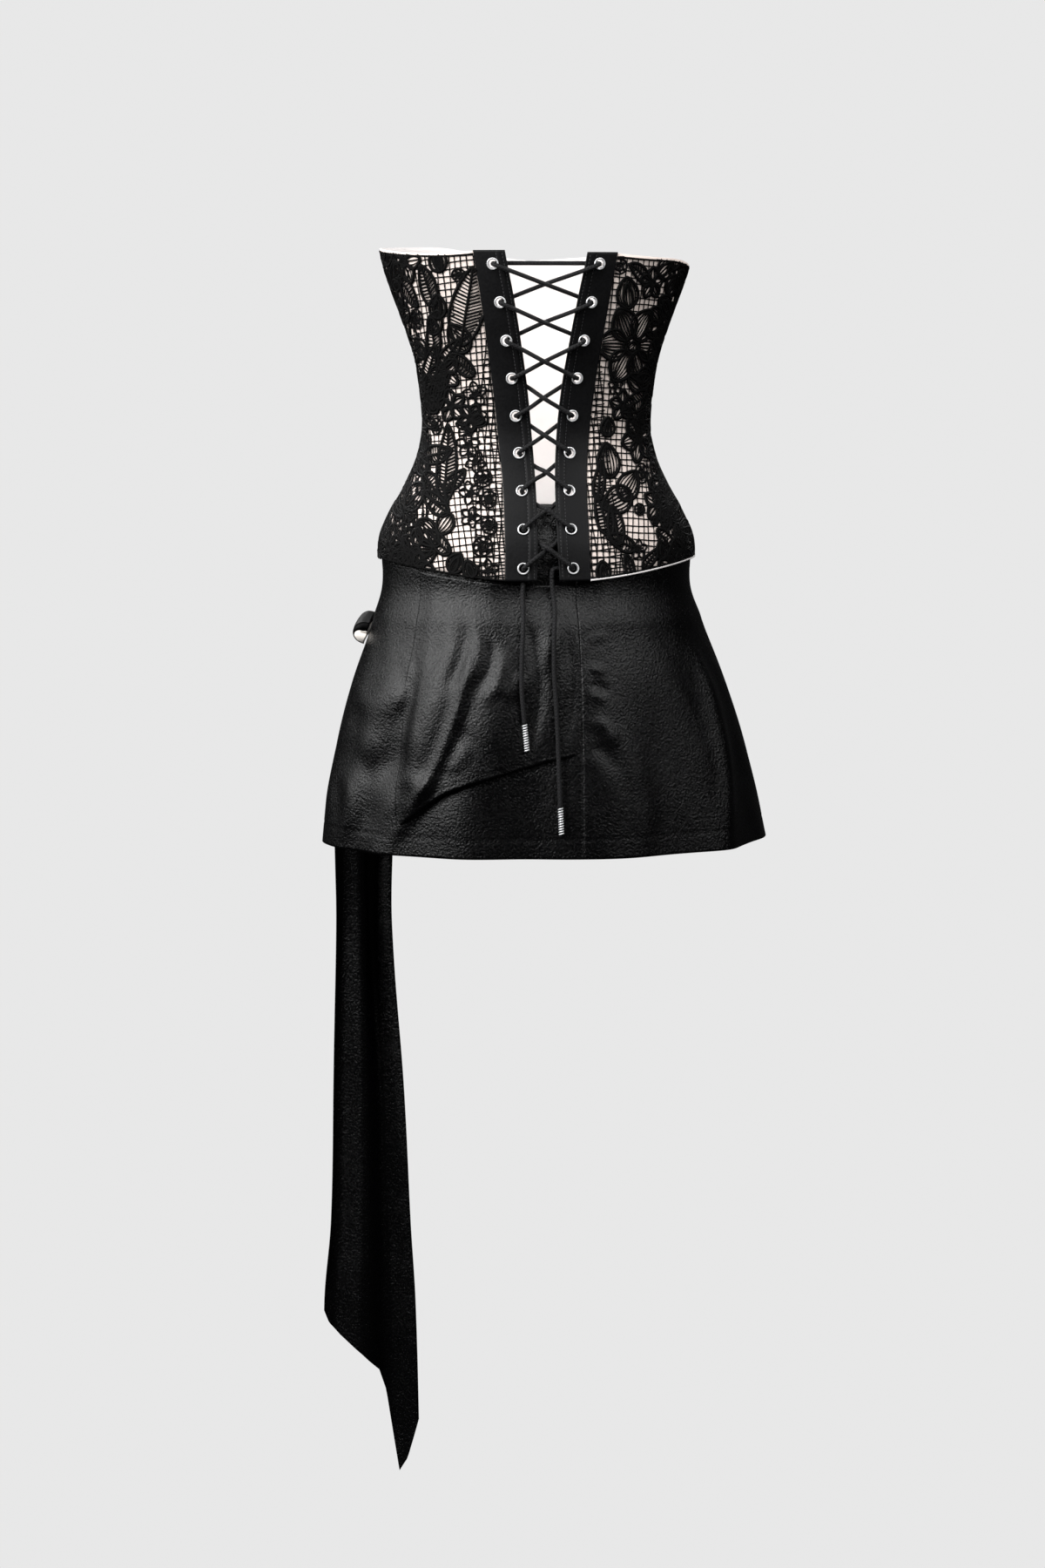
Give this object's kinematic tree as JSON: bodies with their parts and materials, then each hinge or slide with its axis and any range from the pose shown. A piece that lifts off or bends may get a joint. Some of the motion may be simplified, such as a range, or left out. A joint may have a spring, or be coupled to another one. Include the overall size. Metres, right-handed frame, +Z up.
{
  "type": "strapless corset mini dress, worn shape",
  "caption": "Strapless laced corset bodice in black lace over pale lining, with a short flared satin skirt, a draped overlay and a long hip sash.",
  "frame": {"origin": "centre of the waist, at the narrowest height of the bodice, where the wearer holds the dress", "axes": "+Z up along the body, the laced back faces -Y, the front faces +Y, +X is to the right of someone who looks at the laced back"},
  "size_m": [0.4782, 0.3277, 1.3625],
  "materials": {
    "lining": "plain woven cotton lining, pale pinkish cream, matt",
    "lace": "black net lace with darned flowers and leaves, matt thread",
    "panel": "charcoal black satin over boning, soft sheen",
    "satin": "black heavy satin, grey sheen on its folds",
    "cord": "round braided black cord",
    "metal": "bright nickel-plated metal"
  },
  "bodies": {
    "root": {"lining_front": "lining", "lining_back_left": "lining", "lining_back_right": "lining", "lace_front": "lace", "lace_back_left": "lace", "lace_back_right": "lace", "lacing_panel_left": "panel", "lacing_panel_right": "panel", "eyelet_left_1": "metal", "eyelet_left_2": "metal", "eyelet_left_3": "metal", "eyelet_left_4": "metal", "eyelet_left_5": "metal", "eyelet_left_6": "metal", "eyelet_left_7": "metal", "eyelet_left_8": "metal", "eyelet_left_9": "metal", "eyelet_right_1": "metal", "eyelet_right_2": "metal", "eyelet_right_3": "metal", "eyelet_right_4": "metal", "eyelet_right_5": "metal", "eyelet_right_6": "metal", "eyelet_right_7": "metal", "eyelet_right_8": "metal", "eyelet_right_9": "metal", "lacing_from_left": "cord", "lacing_from_right": "cord", "lace_end_left": "cord", "lace_end_right": "cord", "lace_tip_left": "metal", "lace_tip_right": "metal", "skirt_back_left": "satin", "skirt_back_right": "satin", "skirt_front": "satin", "skirt_overlay": "satin", "sash": "satin", "sash_bow_loop": "satin"}
  },
  "joints": []
}
